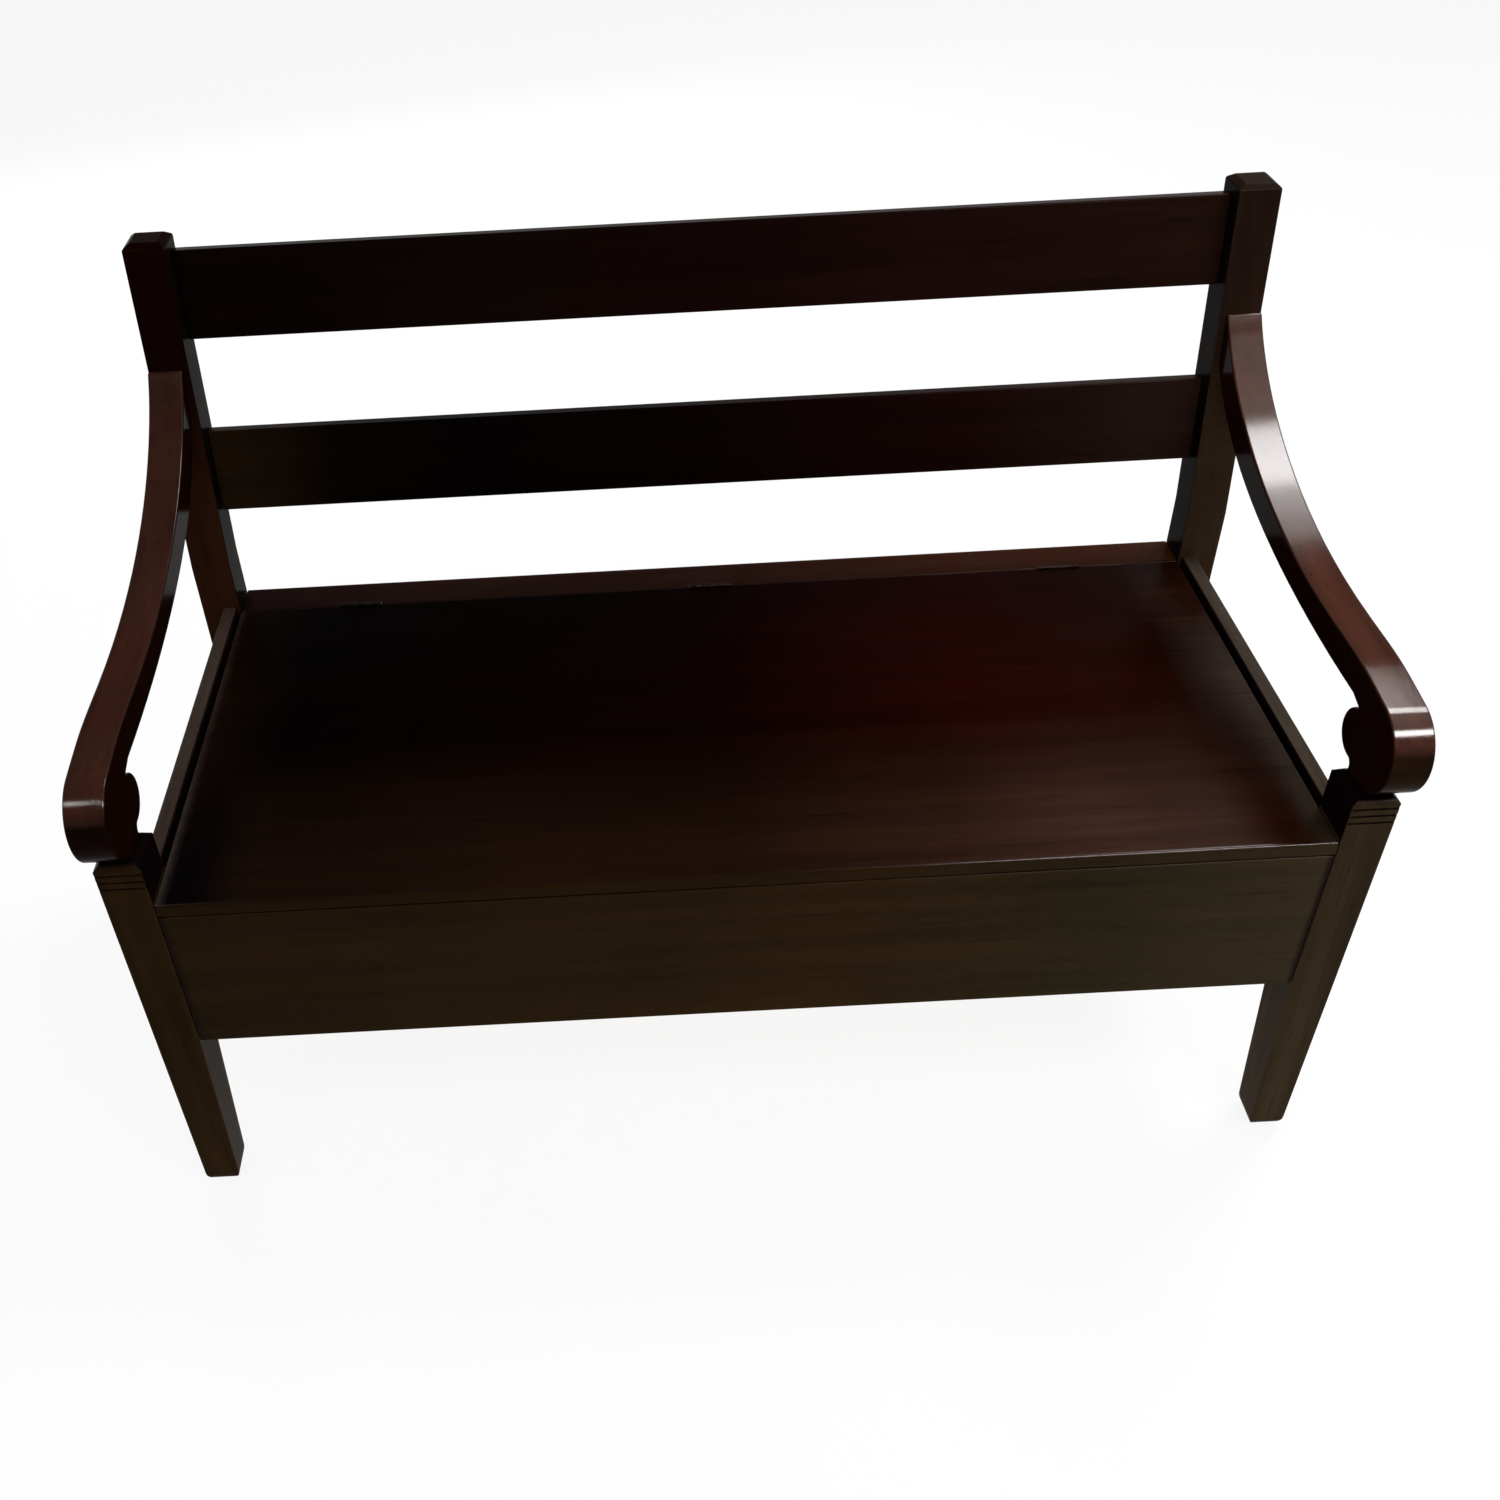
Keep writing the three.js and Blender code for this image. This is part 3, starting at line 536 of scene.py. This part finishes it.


# The seat lid. One wide glued-up panel, its front edge rounded, is stained redder than the frame
# and polished to a soft gloss on top. Its colour carries painted light and shade: darkest at the
# left rear, lit red right of the middle, lighter brown along the front, pale grey-brown along the
# ends, and dark by the legs at the front corners and at the right end toward the rear.
lid_low, lid_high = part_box("seat_lid")
# The rear tones carry painted shade, darkest at the left, and painted light, red right of the middle,
# with a pale stripe and a dark line at each end.
lid_rear_tones_with_painted_light = [
    (-0.5645, (0.0160, 0.0100, 0.0072)), (-0.5600, (0.0160, 0.0100, 0.0072)),
    (-0.556, (0.0040, 0.0018, 0.0009)), (-0.47, (0.0008, 0.0003, 0.0002)),
    (-0.24, (0.0015, 0.0002, 0.0001)), (0.0, (0.0034, 0.0003, 0.0001)),
    (0.28, (0.0120, 0.0008, 0.0003)), (0.49, (0.0118, 0.0016, 0.0005)),
    (0.552, (0.0330, 0.0220, 0.0158))]
# The front tones carry painted light, lighter brown along the front and brightest right of the middle,
# and painted shade by the legs at the corners.
lid_front_tones_with_painted_light = [
    (-0.5645, (0.0300, 0.0230, 0.0190)), (-0.5600, (0.0300, 0.0230, 0.0190)),
    (-0.556, (0.0014, 0.0008, 0.0010)), (-0.53, (0.0014, 0.0008, 0.0010)),
    (-0.48, (0.0076, 0.0033, 0.0015)), (0.0, (0.0112, 0.0042, 0.0018)),
    (0.21, (0.0222, 0.0082, 0.0042)), (0.36, (0.0400, 0.0165, 0.0105)),
    (0.46, (0.0310, 0.0124, 0.0078)), (0.52, (0.0182, 0.0038, 0.0012)),
    (0.537, (0.0160, 0.0048, 0.0016)), (0.552, (0.0210, 0.0135, 0.0084))]
lid_front_to_rear = [(0.10, 0.0), (0.46, 1.0)]
# The edge tones brighten from left to right like the apron's: painted light.
lid_edge_tones_with_painted_light = [
    (-0.56, (0.0105, 0.0048, 0.0006)), (0.1, (0.0185, 0.0088, 0.0016)), (0.56, (0.0240, 0.0165, 0.0072))]
# Painted shade on the lid's right end toward the rear.
lid_corner_painted_shade = (0.0110, 0.0026, 0.0012)
lid_corner_across = [(0.485, 0.0), (0.545, 1.0)]
lid_corner_back = [(0.56, 0.0), (0.80, 1.0)]
lid_top_facing = [(0.5, 0.0), (0.85, 1.0)]
lid_haze = 0.18
lid_rub = 0.15
lid_index = 1.12
lid_polish_index = 1.105
lid_ease = 0.0009


def lid_polish(tree):
    """The polish lies on the top, and fades out over the rounded edges."""
    return ramp(tree, facing(tree)[2], lid_top_facing)


def lid_stain_and_painted_light(tree):
    """The top goes from its front tones to its rear ones, both with painted light and shade, and has
    painted shade at its right rear; the edges are the apron's colour, painted light included.
    """
    place = split(tree, point(tree))
    depth = math_node(tree, "SUBTRACT", place[1], lid_low[1])
    depth = math_node(tree, "DIVIDE", depth, lid_high[1] - lid_low[1])
    front, rear = across_bench(tree, lid_front_tones_with_painted_light), across_bench(tree, lid_rear_tones_with_painted_light)
    top = mix_colour(tree, ramp(tree, depth, lid_front_to_rear), front, rear)
    corner = ramp(tree, place[0], lid_corner_across)
    corner = math_node(tree, "MULTIPLY", corner, ramp(tree, depth, lid_corner_back))
    top = mix_colour(tree, corner, top, lid_corner_painted_shade)
    return mix_colour(tree, lid_polish(tree), across_bench(tree, lid_edge_tones_with_painted_light), top)


lacquer = lacquered("seat_lid_lacquer", "X", lid_stain_and_painted_light, lid_low, lid_high, haze=lid_haze, rub=lid_rub,
                    index=lid_index, polish=lid_polish, polish_index=lid_polish_index)
dress("seat_lid", lacquer, ease=lid_ease)


# The felt dots that the lid closes on. They are cut from pressed felt and stuck to the top of
# the front apron.
felt_fuzz = {"scale": 900.0, "detail": 3, "roughness": 0.7}
felt_tones = [(0.35, (0.012, 0.010, 0.009)), (0.65, (0.05, 0.043, 0.037))]
felt_roughness = 0.95
felt_nap = 0.4

felt = new_material("felt")
tree = felt.node_tree
shader = skin(tree)
fuzz = noise(tree, point(tree), **felt_fuzz)
tree.links.new(ramp(tree, fuzz, felt_tones), shader.inputs["Base Color"])
shader.inputs["Roughness"].default_value = felt_roughness
shader.inputs["Sheen Weight"].default_value = felt_nap
for hand in ("left", "right"):
    dress(f"lid_dot_{hand}", felt)


# The scroll arms. Each is sawn from one plank, with its edges rounded over where hands run,
# and stands on the front leg with its rear end screwed to the back post. The tops are polished
# glossier than the sides where hands run. Painted light makes the tops redder and lighter, and
# painted shade keeps the sides and the front of the scroll dark.
# The top tones are painted light and the front tones painted shade, both brighter to the right.
arm_top_tones_with_painted_light = [(-0.62, (0.0300, 0.0100, 0.0060)), (0.62, (0.0500, 0.0172, 0.0098))]
arm_front_tones_with_painted_shade = [(-0.62, (0.0040, 0.0010, 0.0004)), (0.62, (0.0130, 0.0060, 0.0022))]
# Painted shade for the two sawn sides of each arm.
arm_side_painted_shade = (0.0062, 0.0017, 0.0009)
arm_side_facing = [(0.6, 0.0), (0.85, 1.0)]
arm_top_facing = (0.35, 0.6)
arm_polish_below = 0.05
arm_haze = 0.13
arm_index = 1.07
arm_ripple = 0.5
arm_ease = 0.0022
arm_ease_segments = 4


def handled_and_lit_top(tree, below, above):
    """One value where the arm faces sideways or down and another where it faces up."""
    return ramp(tree, facing(tree)[2], list(zip(arm_top_facing, (below, above))))


def arm_stain_and_painted_light(tree):
    """Redder and lighter on the top with painted light, darker on the front with painted shade, and
    painted shade on the two sawn sides.
    """
    front, top = across_bench(tree, arm_front_tones_with_painted_shade), across_bench(tree, arm_top_tones_with_painted_light)
    # Painted light on faces that look up, painted shade on faces that look forward or down.
    stain = mix_colour(tree, handled_and_lit_top(tree, 0.0, 1.0), front, top)
    # Painted shade on the sawn sides.
    sideways = ramp(tree, math_node(tree, "ABSOLUTE", facing(tree)[0]), arm_side_facing)
    return mix_colour(tree, sideways, stain, arm_side_painted_shade)


def arm_polish(tree):
    """The polish lies where hands run, with a trace of it elsewhere."""
    return handled_and_lit_top(tree, arm_polish_below, 1.0)


for hand in ("left", "right"):
    lacquer = lacquered(f"arm_{hand}_lacquer", "Y", arm_stain_and_painted_light, haze=arm_haze, index=arm_index,
                        ripple=arm_ripple, polish=arm_polish)
    dress(f"arm_{hand}", lacquer, ease=arm_ease, segments=arm_ease_segments)
    dress(f"arm_dowel_{hand}", pine_along["Z"])
    dress(f"arm_screw_{hand}", steel)
    dress(f"screw_plug_{hand}", lacquered(f"screw_plug_{hand}_lacquer", "X", post_high_tones_with_painted_light))


# The studio. A plain paper floor lies under a white surround. Four soft lamps light the wood
# and don't show in the lacquer. Six bright ones, placed like bare tubes and a window, and a dim
# wall show only as reflections in it.
floor_half = 20.0
paper_white = (0.9, 0.9, 0.9)
paper_roughness = 0.9
paper_level = 0.1
paper_glow = 0.87
room_white = (1.0, 1.0, 1.0)
room_light = (0.42, 0.42, 0.43)
wall_tones = [(0.0, 0.12), (0.52, 0.14), (0.62, 0.3), (0.70, 0.7), (0.85, 1.0)]
dark_wall = [(0.485, 1.0), (0.51, 0.03), (0.64, 0.03), (0.70, 1.0)]
wall_foot = [(0.24, 0.0), (0.36, 1.0)]

floor_mesh = bpy.data.meshes.new("floor")
floor_mesh.from_pydata(
    [(-floor_half, -floor_half, 0), (floor_half, -floor_half, 0),
     (floor_half, floor_half, 0), (-floor_half, floor_half, 0)], [], [(0, 1, 2, 3)])
floor = bpy.data.objects.new("floor", floor_mesh)
bpy.context.scene.collection.objects.link(floor)


def seen_directly(tree):
    """1 for a ray from the camera, a mirror reflection or a refraction, and 0 for diffuse light."""
    path = tree.nodes.new("ShaderNodeLightPath").outputs
    either = math_node(tree, "MAXIMUM", path["Is Camera Ray"], path["Is Glossy Ray"])
    return math_node(tree, "MAXIMUM", either, path["Is Transmission Ray"])


paper = new_material("pale_paper")
tree = paper.node_tree
shader = tree.nodes.new("ShaderNodeBsdfPrincipled")
shader.inputs["Base Color"].default_value = (*paper_white, 1)
shader.inputs["Roughness"].default_value = paper_roughness
shader.inputs["Specular IOR Level"].default_value = paper_level
glow = tree.nodes.new("ShaderNodeEmission")
glow.inputs["Color"].default_value = (*room_white, 1)
blend = tree.nodes.new("ShaderNodeMixShader")
tree.links.new(math_node(tree, "MULTIPLY", seen_directly(tree), paper_glow), blend.inputs["Fac"])
tree.links.new(shader.outputs[0], blend.inputs[1])
tree.links.new(glow.outputs[0], blend.inputs[2])
tree.links.new(blend.outputs[0], tree.nodes.new("ShaderNodeOutputMaterial").inputs["Surface"])
floor_mesh.materials.append(paper)

world = bpy.data.worlds.new("surround")
world.use_nodes = True
bpy.context.scene.world = world
tree = world.node_tree
direction = split(tree, tree.nodes.new("ShaderNodeTexCoord").outputs["Generated"])
across = math_node(tree, "ADD", math_node(tree, "MULTIPLY", direction[0], 0.5), 0.5)
upward = direction[2]
wall = mix_colour(tree, 1.0, ramp(tree, across, wall_tones), ramp(tree, upward, dark_wall), "MULTIPLY")
mirrored = mix_colour(tree, ramp(tree, upward, wall_foot), room_white, wall)
lit = mix_colour(tree, seen_directly(tree), room_light, mirrored)
camera_ray = tree.nodes.new("ShaderNodeLightPath").outputs["Is Camera Ray"]
surround = mix_colour(tree, camera_ray, lit, room_white)
tree.links.new(surround, tree.nodes["Background"].inputs["Color"])


def lamp(name, place, target, size, power):
    data = bpy.data.lights.new(name, "AREA")
    data.shape = "RECTANGLE"
    data.size, data.size_y = size
    data.energy = power
    light = bpy.data.objects.new(name, data)
    light.location = place
    light.rotation_mode = "QUATERNION"
    light.rotation_quaternion = (Vector(target) - Vector(place)).to_track_quat("-Z", "Y")
    bpy.context.scene.collection.objects.link(light)
    return light


soft_lamps = [
    ("front_right", (1.1, -1.6, 2.6), (1.1, -0.1, 0.5), (1.9, 0.7), 28),
    ("front_left", (-0.85, -1.5, 2.6), (-0.85, -0.1, 0.5), (1.9, 0.7), 12),
    ("rear_right", (2.1, 1.25, 3.7), (0.0, -0.1, 0.5), (1.1, 1.1), 85),
    ("rear_fill", (-1.0, 3.4, 1.5), (0.0, -0.1, 0.5), (3.0, 1.4), 60)]
mirrored_lamps = [
    ("tube_right", (1.55, -1.55, 2.55), (1.55, -0.1, 0.5), (1.55, 0.5), 340),
    ("tube_left", (-1.72, -1.46, 2.55), (-1.72, -0.1, 0.5), (0.5, 0.35), 40),
    ("window", (2.0, 1.08, 3.65), (2.0, 1.08, 0.0), (1.0, 0.9), 195),
    ("window_fade", (2.12, 1.76, 3.65), (2.12, 1.76, 0.0), (0.75, 0.46), 20),
    ("window_edge", (2.2, 2.2, 3.65), (2.2, 2.2, 0.0), (0.75, 0.42), 10),
    ("ceiling_right", (1.9, -0.45, 3.7), (1.9, -0.45, 0.0), (0.8, 1.7), 20)]
for values in soft_lamps:
    lamp(*values).visible_glossy = False
for values in mirrored_lamps:
    lamp(*values).visible_diffuse = False

bpy.context.scene.view_settings.view_transform = "Standard"
